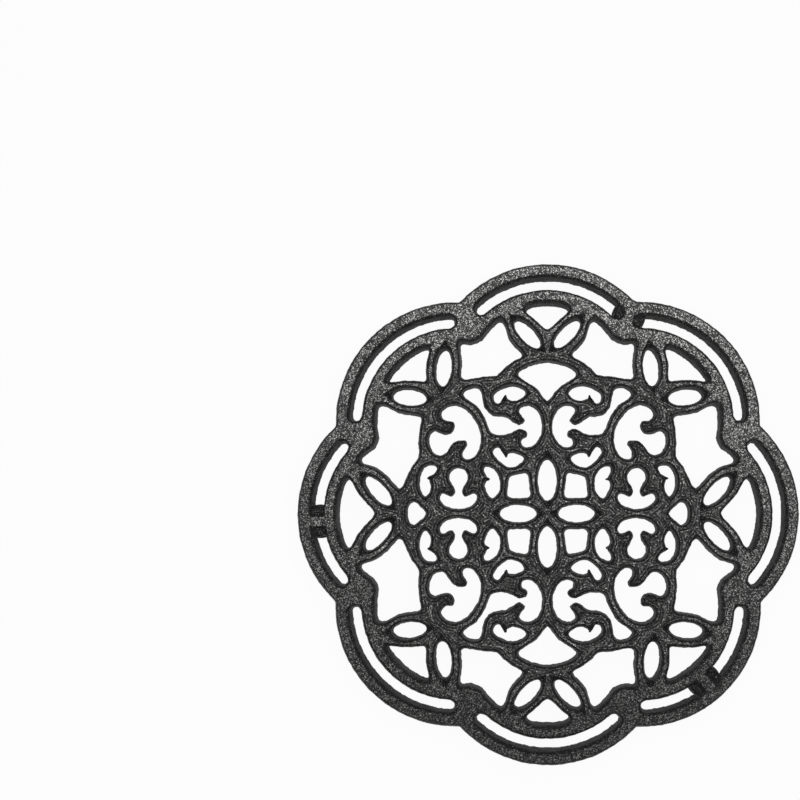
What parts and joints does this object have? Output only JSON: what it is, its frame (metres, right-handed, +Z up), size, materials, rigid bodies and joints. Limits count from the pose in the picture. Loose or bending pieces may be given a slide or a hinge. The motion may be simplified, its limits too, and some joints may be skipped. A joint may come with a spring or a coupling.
{
  "type": "trivet",
  "caption": "Round openwork cast-iron trivet with a double scalloped rim, a lattice of scrolls with leaf hooks, and rubber-capped feet.",
  "frame": {"origin": "on the table, below the middle of the trivet", "axes": "+Z up, out of the face that the pot stands on; +X to the right and +Y away from the viewer, each through the middle of a lobe of the rim, as the trivet lies in the picture"},
  "size_m": [0.203, 0.203, 0.016],
  "materials": {
    "iron": "sand-cast grain under a satin black coating",
    "cap_rubber": "matte moulded black rubber"
  },
  "bodies": {
    "root": {"trivet_casting": "iron", "foot_cap_upper_right": "cap_rubber", "foot_cap_left": "cap_rubber", "foot_cap_lower_right": "cap_rubber"}
  },
  "joints": []
}
